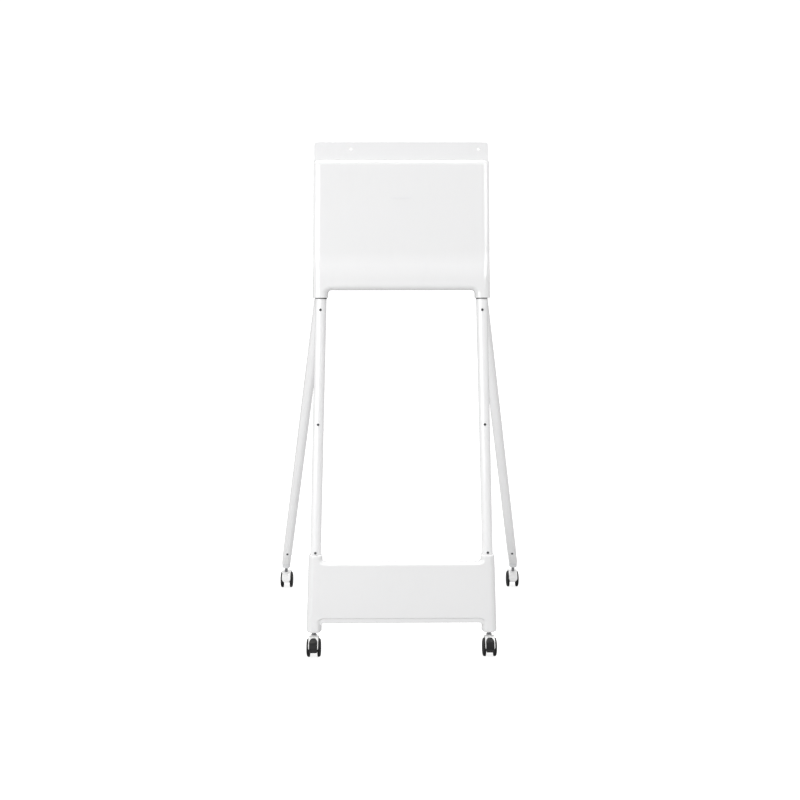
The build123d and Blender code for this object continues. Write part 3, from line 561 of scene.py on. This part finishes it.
def faceOut(shell, up):
    # Two equal arcs, tangent at both ends, carry the face from its level out to the band's.
    rise = shell["bandFace"] - shell["face"]
    if rise == 0:
        return np.full_like(up, shell["face"])
    half = (shell["bandStart"] - shell["bandFull"]) / 2
    radius = (half**2 + (rise / 2) ** 2) / rise
    fromStart = np.clip(shell["bandStart"] - up, 0, half)
    fromFull = np.clip(up - shell["bandFull"], 0, half)
    upper = shell["face"] + radius - np.sqrt(radius**2 - fromStart**2)
    lower = shell["bandFace"] - radius + np.sqrt(radius**2 - fromFull**2)
    return np.where(up > shell["bandStart"] - half, upper, lower)


def outerEdge(shell, up):
    # The outer side runs straight from its width at the foot to its width at the top.
    low, high = shell["outerSpan"]
    share = (up - low) / (high - low)
    return shell["outerLow"] + (shell["outerHigh"] - shell["outerLow"]) * share


def stubRows(shell, end):
    # Rows from a stub's foot to the plate: straight, then a quarter turn round the arch.
    # They are stacked as height, the face's inner border, and the border's offsets to the outline.
    sign = 1 if end == "Low" else -1
    rimUp, rimAcross = shell["rim" + end], shell["rimInner"]
    centreUp = shell[end.lower()] - sign * shell["arch"]
    centreAcross = shell["inner" + end] - shell["arch"]
    foot = shell["foot" + end] + sign * shell["endRound"]
    straight = np.linspace(foot, centreUp, shellMesh["stubSteps"])[:-1]
    angle = np.linspace(0, np.pi / 2, shellMesh["archSteps"])
    flat, still = np.full_like(straight, rimAcross), np.zeros_like(straight)
    up = np.concatenate([straight, centreUp + sign * (shell["arch"] + rimUp) * np.sin(angle)])
    archBorder = centreAcross + (shell["arch"] + rimAcross) * np.cos(angle)
    border = np.concatenate([shell["inner" + end] + flat, archBorder])
    offAcross = np.concatenate([-flat, -rimAcross * np.cos(angle)])
    offUp = np.concatenate([still, -sign * rimUp * np.sin(angle)])
    return np.stack([up, border, offAcross, offUp]), centreAcross


def shellRows(shell):
    # The lower stub's rows, evenly spaced rows up the plate, and the upper stub's rows if it has one.
    lowRows, lowCentre = stubRows(shell, "Low")
    highRows, highCentre = np.empty((4, 0)), lowCentre
    plateLow, plateHigh = lowRows[0, -1], shell["high"] - shell["rimHigh"]
    if shell["footHigh"] is not None:
        highRows, highCentre = stubRows(shell, "High")
        highRows = highRows[:, ::-1]
        plateHigh = highRows[0, 0]
    rowCount = max(shellMesh["fewestRows"], int((plateHigh - plateLow) / shellMesh["rowPitch"]))
    plate = np.linspace(plateLow, plateHigh, rowCount)[1:]
    if shell["footHigh"] is not None:
        plate = plate[:-1]
    share = (plate - plateLow) / (plateHigh - plateLow)
    border = lowCentre + (highCentre - lowCentre) * share
    still = np.zeros_like(plate)
    rows = np.concatenate([lowRows, np.stack([plate, border, still, still]), highRows], axis=1)
    firstPlate = lowRows.shape[1] - 1
    lastPlate = rows.shape[1] - max(highRows.shape[1], 1)
    return rows, firstPlate, lastPlate


def facePatch(shell, across, up):
    # Points of the face itself: rows of points across, each row at its height.
    return across, np.broadcast_to(up[:, None], across.shape), np.broadcast_to(
        faceOut(shell, up)[:, None], across.shape
    )


def rimPatch(shell, across, up, offAcross, offUp):
    # Quarter ellipse from the face's border, where it is level, to the outline on the split plane.
    angle = np.linspace(0, np.pi / 2, shellMesh["rimSteps"])[None, :]
    face = faceOut(shell, up)[:, None]
    return (
        across[:, None] + offAcross[:, None] * np.sin(angle),
        up[:, None] + offUp[:, None] * np.sin(angle),
        face - (face - shell["split"]) * (1 - np.cos(angle)),
    )


def straightRim(shell, line, up, reach):
    # The same rim along a level line of the face, reaching up or down.
    still = np.zeros_like(line)
    return rimPatch(shell, line, still + up, still, still + reach)


def endPatch(shell, outline, end):
    # Closes a stub: its outline rounds over, runs in to the leg's hole and turns into it.
    across, up, out = outline
    sign = 1 if end == "Low" else -1
    centre = legAxis(shell["foot" + end])
    fromAxis = across - centre
    length = np.sqrt(fromAxis**2 + out**2)
    angle = np.linspace(0, np.pi / 2, shellMesh["endSteps"])[:, None]
    scale = 1 - shell["endRound"] * (1 - np.cos(angle)) / length
    scale = np.concatenate([scale, np.stack([shell["legHole"] / length] * 2)])
    height = up[None] - sign * shell["endRound"] * np.sin(angle)
    height = np.concatenate([height, height[-1:], height[-1:] + sign * shellMesh["holeDepth"]])
    return centre + fromAxis * scale, height, out * scale


def columnPatches(shell, side, rows, firstPlate, lastPlate):
    # One column: its face, its outer rim, and each stub's inner rim and end.
    up, border, offAcross, offUp = rows
    outer = outerEdge(shell, up) - shell["rimSide"]
    columns = np.linspace(0, 1, shellMesh["columnSteps"])[None, :]
    face = facePatch(shell, outer[:, None] + (border - outer)[:, None] * columns, up)
    outerRim = rimPatch(shell, outer, up, np.full_like(up, shell["rimSide"]), np.zeros_like(up))
    patches = [face, outerRim]
    stubs = [("Low", slice(0, firstPlate + 1), 0)]
    if shell["footHigh"] is not None:
        stubs.append(("High", slice(lastPlate, None), -1))
    for end, span, foot in stubs:
        innerRim = rimPatch(shell, border[span], up[span], offAcross[span], offUp[span])
        outline = [
            np.concatenate([outside[foot][::-1], level[foot][1:-1], inside[foot]])
            for outside, level, inside in zip(outerRim, face, innerRim)
        ]
        patches += [innerRim, endPatch(shell, outline, end)]
    return [(side * across, height, out) for across, height, out in patches]


def topPatches(shell, plateLine, rows):
    # A top without stubs: one rim from column to column, and a rounded corner at each end of it.
    up, border = rows[0, -1], rows[1, -1]
    outer = outerEdge(shell, up) - shell["rimSide"]
    column = outer + (border - outer) * np.linspace(0, 1, shellMesh["columnSteps"])
    line = np.concatenate([-column, plateLine[1:-1], column[::-1]])
    patches = [straightRim(shell, line, up, shell["rimHigh"])]
    turn = np.linspace(0, np.pi / 2, shellMesh["cornerSteps"])
    offAcross = shell["rimSide"] * np.cos(turn) ** shellMesh["cornerPower"]
    offUp = shell["rimHigh"] * np.sin(turn) ** shellMesh["cornerPower"]
    still = np.zeros_like(turn)
    across, height, out = rimPatch(shell, still + outer, still + up, offAcross, offUp)
    return patches + [(side * across, height, out) for side in (-1, 1)]


def cutFoot(shell, up, out):
    # The columns' feet are cut level with the floor, not square to the lean.
    if not shell["levelFoot"]:
        return up
    share = np.clip((shell["low"] - up) / (shell["low"] - shell["footLow"]), 0, 1)
    return up - out * math.tan(stance["lean"]) * share


def shellGrids(shell):
    # Both columns, the plate's face, its lower rim, and its upper rim or closed top.
    rows, firstPlate, lastPlate = shellRows(shell)
    patches = []
    for side in (-1, 1):
        patches += columnPatches(shell, side, rows, firstPlate, lastPlate)
    plateUp, plateBorder = rows[:2, firstPlate : lastPlate + 1]
    middle = np.linspace(-1, 1, shellMesh["plateSteps"])[None, :]
    plate = facePatch(shell, plateBorder[:, None] * middle, plateUp)
    lowLine, highLine = plate[0][0], plate[0][-1]
    patches += [plate, straightRim(shell, lowLine, plateUp[0], -shell["rimLow"])]
    if shell["footHigh"] is None:
        patches += topPatches(shell, highLine, rows)
    else:
        patches.append(straightRim(shell, highLine, plateUp[-1], shell["rimHigh"]))
    return [(leanPoints(across, cutFoot(shell, up, out), out), False) for across, up, out in patches]


def makeShell(shell, name, nodeName):
    mesh = meshFromGrids(name, shellGrids(shell), shellMesh["sharpAngle"])
    piece = placePiece(mesh, name, materials["whiteGlossShell"], "frame", nodeName)
    solid = piece.modifiers.new("wall", "SOLIDIFY")
    solid.thickness = shell["wall"]
    solid.offset = -1.0
    solid.use_even_offset = False
    weightNormals(piece)


makeShell(headFront, "headFrontShell", "head_front_cover")
makeShell(headBack, "headBackShell", "head_back_cover")
makeShell(beamFront, "beamFrontShell", "beam_front_shell")
makeShell(beamBack, "beamBackShell", "beam_back_shell")

# The lip under the beam: a rounded bar whose lower corners sweep down beside the columns.
beamLip = {
    "low": 0.110, "high": 0.131, "halfDepth": 0.0175, "round": 0.004, "topRound": 0.001,
    "end": 0.2720, "column": 0.2612, "corner": 0.0080, "cornerSteps": 12, "middleSteps": 40,
    "sharpAngle": 50.0,
}


def makeBeamLip():
    # Section (out, up) carried across the beam; its lower side drops on a quarter circle at the ends.
    low, high, half = beamLip["low"], beamLip["high"], beamLip["halfDepth"]
    lower, upper, corner = beamLip["round"], beamLip["topRound"], beamLip["corner"]
    outline = [(0.0, high, 0), (half, high, upper), (half, low, lower)]
    outline += [(-out, up, ease) for out, up, ease in reversed(outline)]
    section = roundCorners(outline)[:-1]
    bend = np.sin(np.linspace(0, np.pi / 2, beamLip["cornerSteps"])) * corner
    right = np.concatenate([beamLip["column"] - corner + bend, [beamLip["end"]]])
    middle = np.linspace(-right[0], right[0], beamLip["middleSteps"])[1:-1]
    across = np.concatenate([-right[::-1], middle, right])
    past = np.clip(np.abs(across) - beamLip["column"] + corner, 0, corner)
    drop = corner - np.sqrt(corner**2 - past**2)
    share = (high - section[:, 1]) / (high - low)
    up = section[:, 1][None, :] - drop[:, None] * share[None, :]
    out = np.broadcast_to(section[:, 0][None, :], up.shape)
    body = leanPoints(across[:, None], up, out)
    ends = [np.stack([ring * 0 + ring.mean(axis=0), ring]) for ring in (body[0], body[-1])]
    grids = [(body, True), (ends[0], True), (ends[1], True)]
    mesh = meshFromGrids("beamLip", grids, beamLip["sharpAngle"])
    shade = materials["whiteGlossShell"]
    piece = placePiece(mesh, "beamLip", shade, "frame", "beam_bottom_strip")
    weightNormals(piece)


makeBeamLip()
print("shells made")

tubes = {
    "frontRadius": 0.0175, "frontBore": 0.0160, "frontSpan": (0.3356, 1.2000),
    "rearRadius": 0.0170, "rearBore": 0.0155,
    "rearTop": (0.2563, stance["frontStemY"] + 0.143, 1.200),
    "rearFoot": (stance["rearStemX"], stance["rearStemY"], 0.101),
    "rearSpan": (0.143, 1.200), "lip": 0.0006, "segments": 112, "sharpAngle": 50.0,
}


def ringProfile(length, outer, bore, edge, steps):
    # Outer wall, rounded ends and bore: a closed band round the axis, begun half way up the bore.
    half = [(length / 2, bore, 0), (0, bore, edge), (0, outer, edge)]
    other = [(length - along, around, ease) for along, around, ease in reversed(half)]
    return roundCorners(half + other, steps)


def rearPoint(side, height):
    # A rear leg's axis is the straight line from its top to its foot.
    top = np.array(tubes["rearTop"]) * (side, 1, 1)
    foot = np.array(tubes["rearFoot"]) * (side, 1, 1)
    return top + (foot - top) * (top[2] - height) / (top[2] - foot[2])


def makeTube(name, nodeName, start, end, outer, bore):
    # The band carried round the leg's axis.
    direction = end - start
    profile = ringProfile(np.linalg.norm(direction), outer, bore, tubes["lip"], 4)
    grid = lathe(start, direction, profile, tubes["segments"])
    mesh = meshFromGrids(name, [(grid, True)], tubes["sharpAngle"])
    piece = placePiece(mesh, name, materials["whiteTubePaint"], "frame", nodeName)
    weightNormals(piece)


def makeLegs(sideName, side):
    low, high = (legPoint(side, up) for up in tubes["frontSpan"])
    outer, bore = tubes["frontRadius"], tubes["frontBore"]
    makeTube(sideName + "FrontLeg", sideName + "_front_leg", low, high, outer, bore)
    low, high = (rearPoint(side, height) for height in tubes["rearSpan"])
    outer, bore = tubes["rearRadius"], tubes["rearBore"]
    makeTube(sideName + "RearLeg", sideName + "_rear_leg", low, high, outer, bore)


bothSides = (("left", -1), ("right", 1))
for sideName, side in bothSides:
    makeLegs(sideName, side)
print("legs made")

# Dark rings where the front legs enter the head: painted shade for the shadow gap between each socket
# and its leg.
legGapShade = {
    "low": 1.1620, "high": 1.1665, "outer": 0.0186, "inner": 0.0176, "edge": 0.0003, "segments": 96
}


def makeLegGapShade(sideName, side):
    # A thin band carried round the leg's axis.
    start = legPoint(side, legGapShade["low"])
    along = legPoint(side, legGapShade["high"]) - start
    length = legGapShade["high"] - legGapShade["low"]
    profile = ringProfile(length, legGapShade["outer"], legGapShade["inner"], legGapShade["edge"], 3)
    name = sideName + "LegSeal"
    grid = lathe(start, along, profile, legGapShade["segments"])
    mesh = meshFromGrids(name, [(grid, True)], tubes["sharpAngle"])
    # The ring is painted shade: it stands for the shadow in the gap under the socket.
    placePiece(mesh, name, materials["gapShadeDark"], "frame", None)


for sideName, side in bothSides:
    makeLegGapShade(sideName, side)
print("leg seals made")

# Angled sockets between the rear legs and their stems.
rearFoot = {
    "radius": 0.0163, "top": 0.1424, "bottom": 0.1012, "edge": 0.0010,
    "plug": 0.0154, "plugLength": 0.020, "shoulder": 0.004,
    "segments": 96, "rows": 24, "edgeSteps": 5, "sharpAngle": 40.0,
}


def makeRearFoot(sideName, side):
    # A slanted cylinder whose lower end is cut level: each line of it runs down the leg's slope.
    top = rearPoint(side, rearFoot["top"])
    along = rearPoint(side, 1.0) - rearPoint(side, 0.0)
    along = along / np.linalg.norm(along)
    edge, radius, plug = rearFoot["edge"], rearFoot["radius"], rearFoot["plug"]
    length = rearFoot["plugLength"]
    shoulder = roundCorners(
        [(length, 0.0, 0), (length, plug, edge), (0.0, plug, 0), (0.0, radius, edge),
         (-rearFoot["shoulder"], radius, 0)],
        4,
    )
    upper = lathe(top, along, shoulder, rearFoot["segments"])
    start = upper[-1]
    drop = (rearFoot["bottom"] + edge - start[:, 2]) / along[2]
    share = np.linspace(0, 1, rearFoot["rows"])[:, None, None]
    body = start[None] + along * drop[None, :, None] * share
    rimRing = body[-1]
    centre = rimRing.mean(axis=0)
    angle = np.linspace(0, np.pi / 2, rearFoot["edgeSteps"])[:, None, None]
    inward = (rimRing - centre) * (1 - edge * (1 - np.cos(angle)) / radius)
    lowerRim = centre + inward - np.array([0, 0, edge]) * np.sin(angle)
    floorRing = np.repeat(lowerRim[-1].mean(axis=0)[None, None], rimRing.shape[0], axis=1)
    lower = np.concatenate([lowerRim, floorRing])
    name = sideName + "RearFootSocket"
    grids = [(upper, True), (body, True), (lower, True)]
    mesh = meshFromGrids(name, grids, rearFoot["sharpAngle"])
    nodeName = sideName + "_rear_foot"
    piece = placePiece(mesh, name, materials["whiteNylon"], "frame", nodeName)
    weightNormals(piece)


for sideName, side in bothSides:
    makeRearFoot(sideName, side)
print("rear feet made")

wheel = {
    "inner": 0.0126, "outer": 0.0232, "bore": 0.00305, "boreWall": 0.0024,
    # Inner side, from the bore out: depth, radius and rounding.
    "innerSide": [
        (0, 0.00305, 0.0003), (0, 0.0085, 0.0006), (0.0030, 0.0100, 0.0008),
        (0.0030, 0.0230, 0.0008), (0, 0.0245, 0.0006), (0, 0.0300, 0.0012),
    ],
    # Outer side, from the tread in: the domed shoulder, the shallow dish, the hub's ring and dimple.
    "outerSide": [
        (0.0020, 0.0300, 0.0070), (0, 0.0216, 0.0100), (0.0003, 0.0208, 0.0006),
        (0.0018, 0.0192, 0.0010), (0.0019, 0.0100, 0.0010), (0.0008, 0.0086, 0.0007),
        (0.0008, 0.0052, 0.0004), (0.0013, 0.0048, 0.0004), (0.0013, 0.0, 0),
    ],
    "segments": 128, "sharpAngle": 40.0,
}


def wheelProfile():
    # (distance outward from the caster's middle, radius): the bore's end, then both sides, eased.
    boreEnd = wheel["outer"] - wheel["boreWall"]
    outline = [(boreEnd, 0.0, 0), (boreEnd, wheel["bore"], 0.0001)]
    outline += [(wheel["inner"] + depth, around, ease) for depth, around, ease in wheel["innerSide"]]
    outline += [(wheel["outer"] - depth, around, ease) for depth, around, ease in wheel["outerSide"]]
    return roundCorners(outline, 5)


def camelName(words):
    first, *rest = words.split("_")
    return first + "".join(word.capitalize() for word in rest)


def makeWheel(corner, sideName, side):
    # The profile turned round the axle, about the middle of the frame's own wheel.
    nodeName = corner + "_wheel_" + sideName
    low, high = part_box(nodeName)
    hub = (low + high) / 2
    middleX = hub.x - side * (wheel["inner"] + wheel["outer"]) / 2
    axleHeight = joints[corner + "_spin_left"]["pos_m"][2]
    grid = lathe((middleX, hub.y, axleHeight), (side, 0, 0), wheelProfile(), wheel["segments"])
    name = camelName(nodeName)
    mesh = meshFromGrids(name, [(grid, True)], wheel["sharpAngle"])
    piece = placePiece(mesh, name, materials["wheelBlack"], nodeName, nodeName)
    weightNormals(piece)


casterCorners = ("front_left", "front_right", "rear_left", "rear_right")
for corner in casterCorners:
    for sideName, side in bothSides:
        makeWheel(corner, sideName, side)
print("wheels made")

# Frame nodes kept in shape, with their edges broken: finish, slot and bevel width.
refined = {
    "mounting_plate": ("whitePlatePaint", "white_plate_paint", 0.0005),
    "badge_plate": ("badgeGrey", "badge_grey", 0.0002),
    "left_rear_bracket": ("whiteTubePaint", "white_powder_coat", 0.0010),
    "right_rear_bracket": ("whiteTubePaint", "white_powder_coat", 0.0010),
    "left_foot_ring": ("ringGrey", "ring_grey", 0.0006),
    "right_foot_ring": ("ringGrey", "ring_grey", 0.0006),
    "left_column_cap": ("paleNylon", "dark_nylon", 0.0005),
    "right_column_cap": ("paleNylon", "dark_nylon", 0.0005),
    "front_leg_screws": ("darkScrew", "dark_steel_fasteners", 0.0002),
    "rear_leg_screws": ("darkScrew", "dark_steel_fasteners", 0.0002),
    "cover_screws": ("darkScrew", "dark_steel_fasteners", 0.0003),
    "beam_screws": ("darkScrew", "dark_steel_fasteners", 0.0003),
}
for corner in casterCorners:
    refined[corner + "_caster_hood"] = ("whiteNylon", "white_nylon", 0.0005)
    refined[corner + "_caster_stem"] = ("brightSteel", "bright_steel", 0.0003)
for corner in casterCorners[:2]:
    refined[corner + "_brake_pedal"] = ("pedalBlack", "pedal_nylon", 0.0006)
for nodeName, (finishName, slotName, width) in refined.items():
    refineNode(nodeName, camelName(nodeName) + "Piece", materials[finishName], width)
print("kept pieces refined:", len(refined))

# The finish that each slot of the frame's own nodes wears.
slotFinish = {
    "white_gloss_shell": "whiteGlossShell", "white_powder_coat": "whiteTubePaint",
    "white_plate_paint": "whitePlatePaint", "badge_grey": "badgeGrey", "ring_grey": "ringGrey",
    "white_nylon": "whiteNylon", "wheel_nylon": "wheelBlack", "pedal_nylon": "pedalBlack",
    "dark_nylon": "paleNylon", "bright_steel": "brightSteel", "dark_steel_fasteners": "darkScrew",
}
for entry in frame["record"]["subparts"]:
    mesh = nodes[entry["node"]].data
    mesh.materials.clear()
    mesh.materials.append(materials[slotFinish[entry["material_slot"]]])

studio = {
    "floorColour": (0.42, 0.42, 0.42), "floorGlow": 0.82, "floorSize": 60.0,
    "floorRough": 0.75, "floorSpecular": 0.15, "floorMottle": 0.01, "floorNoise": 3.0,
    "worldFront": 0.465, "worldBack": 1.05, "worldTurn": (-0.2, 0.6), "seenWorld": 1.1,
    "top": {"place": (0.0, 0.5, 4.0), "size": (3.0, 2.4), "power": 100.0, "aim": (0.0, 0.0, 0.8)},
    "left": {"place": (-2.6, -3.4, 1.6), "size": (4.0, 3.0), "power": 112.0, "aim": (0.0, -0.2, 0.9)},
    "right": {"place": (3.0, -2.6, 2.6), "size": (3.0, 1.8), "power": 52.0, "aim": (0.0, -0.2, 1.3)},
}


def makeFloor():
    # Dim for the light that it bounces, glowing white for the camera.
    half = studio["floorSize"] / 2
    line = np.linspace(-half, half, 5)
    x, y = np.meshgrid(line, line, indexing="ij")
    surface = np.stack([x, y, np.zeros_like(x)], axis=-1)
    mesh = meshFromGrids("studioFloor", [(surface, False)], 30.0)
    floor = bpy.data.objects.new("studioFloor", mesh)
    bpy.context.scene.collection.objects.link(floor)
    material = bpy.data.materials.new("floorPaint")
    material.use_nodes = True
    tree = material.node_tree
    shader = tree.nodes["Principled BSDF"]
    shader.inputs["Roughness"].default_value = studio["floorRough"]
    shader.inputs["Specular IOR Level"].default_value = studio["floorSpecular"]
    shader.inputs["Emission Color"].default_value = (1.0, 1.0, 1.0, 1.0)
    path = tree.nodes.new("ShaderNodeLightPath")
    glow = mathNode(tree, "MULTIPLY", path.outputs["Is Camera Ray"], studio["floorGlow"])
    tree.links.new(glow, shader.inputs["Emission Strength"])
    noise = addNode(tree, "ShaderNodeTexNoise", Scale=studio["floorNoise"], Detail=6.0)
    place = tree.nodes.new("ShaderNodeTexCoord")
    tree.links.new(place.outputs["Object"], noise.inputs["Vector"])
    darker = tuple(value * (1.0 - studio["floorMottle"]) for value in studio["floorColour"])
    colour = mixColour(tree, noise.outputs["Fac"], studio["floorColour"], darker)
    tree.links.new(colour, shader.inputs["Base Color"])
    mesh.materials.append(material)


def makeLight(name):
    look = studio[name]
    data = bpy.data.lights.new(name + "Softbox", "AREA")
    data.shape = "RECTANGLE"
    data.size, data.size_y = look["size"]
    data.energy = look["power"]
    light = bpy.data.objects.new(name + "Softbox", data)
    light.location = look["place"]
    aim = Vector(look["aim"]) - Vector(look["place"])
    light.rotation_euler = aim.to_track_quat("-Z", "Y").to_euler()
    light.visible_camera = False
    bpy.context.scene.collection.objects.link(light)


def makeWorld():
    # White all round, brighter behind the object than in front of it;
    # what the camera sees directly is plain white.
    world = bpy.data.worlds.new("studioWorld")
    world.use_nodes = True
    tree = world.node_tree
    sky = tree.nodes["Background"]
    sky.inputs["Color"].default_value = (1.0, 1.0, 1.0, 1.0)
    place = tree.nodes.new("ShaderNodeTexCoord")
    split = tree.nodes.new("ShaderNodeSeparateXYZ")
    tree.links.new(place.outputs["Generated"], split.inputs["Vector"])
    around = tree.nodes.new("ShaderNodeMapRange")
    around.inputs["From Min"].default_value = studio["worldTurn"][0]
    around.inputs["From Max"].default_value = studio["worldTurn"][1]
    around.inputs["To Min"].default_value = studio["worldFront"]
    around.inputs["To Max"].default_value = studio["worldBack"]
    tree.links.new(split.outputs["Y"], around.inputs["Value"])
    path = tree.nodes.new("ShaderNodeLightPath")
    strength = tree.nodes.new("ShaderNodeMapRange")
    tree.links.new(around.outputs["Result"], strength.inputs["To Min"])
    strength.inputs["To Max"].default_value = studio["seenWorld"]
    tree.links.new(path.outputs["Is Camera Ray"], strength.inputs["Value"])
    tree.links.new(strength.outputs["Result"], sky.inputs["Strength"])
    bpy.context.scene.world = world


makeFloor()
makeWorld()
for lightName in ("top", "left", "right"):
    makeLight(lightName)
bpy.context.scene.view_settings.view_transform = "Standard"
print("studio lit")
